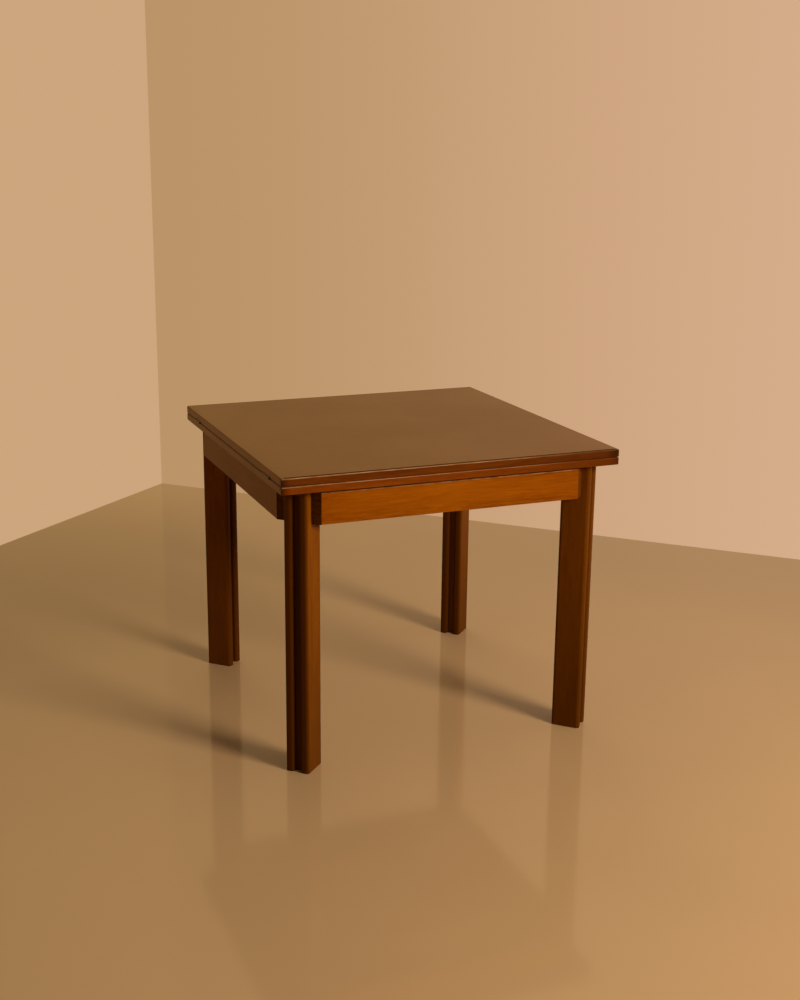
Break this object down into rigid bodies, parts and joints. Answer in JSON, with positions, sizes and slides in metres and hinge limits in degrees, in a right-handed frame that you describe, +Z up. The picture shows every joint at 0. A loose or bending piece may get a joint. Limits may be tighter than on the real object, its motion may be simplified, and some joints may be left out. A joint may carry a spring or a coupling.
{
  "type": "extending dining table",
  "caption": "Square wooden extending dining table on diagonal grooved legs, with a sliding top whose hinged upper leaf folds over to lengthen it.",
  "frame": {"origin": "on the floor under the middle of the closed table", "axes": "+Z up; +X to the right along the front apron, the way the top slides; -Y to the front; the leaf hinges are on the -X edge"},
  "size_m": [0.9032, 0.9, 0.77],
  "materials": {
    "walnut_veneer": "satin lacquer",
    "walnut_lipping": "satin lacquer",
    "walnut_solid": "satin lacquer",
    "beech": "planed, unfinished",
    "felt": "wool felt",
    "brass": "satin",
    "steel": "zinc plated"
  },
  "bodies": {
    "base": {"front_left_leg_plank_a": "walnut_solid", "front_left_leg_plank_b": "walnut_solid", "front_left_leg_core": "walnut_solid", "front_right_leg_plank_a": "walnut_solid", "front_right_leg_plank_b": "walnut_solid", "front_right_leg_core": "walnut_solid", "rear_right_leg_plank_a": "walnut_solid", "rear_right_leg_plank_b": "walnut_solid", "rear_right_leg_core": "walnut_solid", "rear_left_leg_plank_a": "walnut_solid", "rear_left_leg_plank_b": "walnut_solid", "rear_left_leg_core": "walnut_solid", "front_apron": "walnut_solid", "right_apron": "walnut_solid", "rear_apron": "walnut_solid", "left_apron": "walnut_solid", "front_left_corner_block": "beech", "front_right_corner_block": "beech", "rear_right_corner_block": "beech", "rear_left_corner_block": "beech", "front_left_hanger_bolt": "steel", "front_right_hanger_bolt": "steel", "rear_right_hanger_bolt": "steel", "rear_left_hanger_bolt": "steel", "front_left_washer": "steel", "front_right_washer": "steel", "rear_right_washer": "steel", "rear_left_washer": "steel", "front_left_nut": "steel", "front_right_nut": "steel", "rear_right_nut": "steel", "rear_left_nut": "steel", "front_guide_rail": "beech", "rear_guide_rail": "beech", "front_rail_felt": "felt", "rear_rail_felt": "felt"},
    "lower_top": {"lower_leaf_panel": "walnut_veneer", "lower_leaf_front_lipping": "walnut_lipping", "lower_leaf_right_lipping": "walnut_lipping", "lower_leaf_rear_lipping": "walnut_lipping", "lower_leaf_left_lipping": "walnut_lipping", "front_runner": "beech", "rear_runner": "beech", "front_hinge_lower_plate": "brass", "rear_hinge_lower_plate": "brass", "front_hinge_pin": "brass", "rear_hinge_pin": "brass", "front_left_buffer": "felt", "front_right_buffer": "felt", "rear_right_buffer": "felt", "rear_left_buffer": "felt"},
    "upper_top": {"upper_leaf_panel": "walnut_veneer", "upper_leaf_front_lipping": "walnut_lipping", "upper_leaf_right_lipping": "walnut_lipping", "upper_leaf_rear_lipping": "walnut_lipping", "upper_leaf_left_lipping": "walnut_lipping", "front_hinge_upper_plate": "brass", "rear_hinge_upper_plate": "brass"}
  },
  "joints": [
    {"name": "top_slide", "type": "slide", "parent": "base", "child": "lower_top", "axis": [1, 0, 0], "range_m": [0, 0.45]},
    {"name": "leaf_fold", "type": "hinge", "parent": "lower_top", "child": "upper_top", "pos_m": [-0.45025, 0, 0.75025], "axis": [0, -1, 0], "range_deg": [0, 180]}
  ]
}
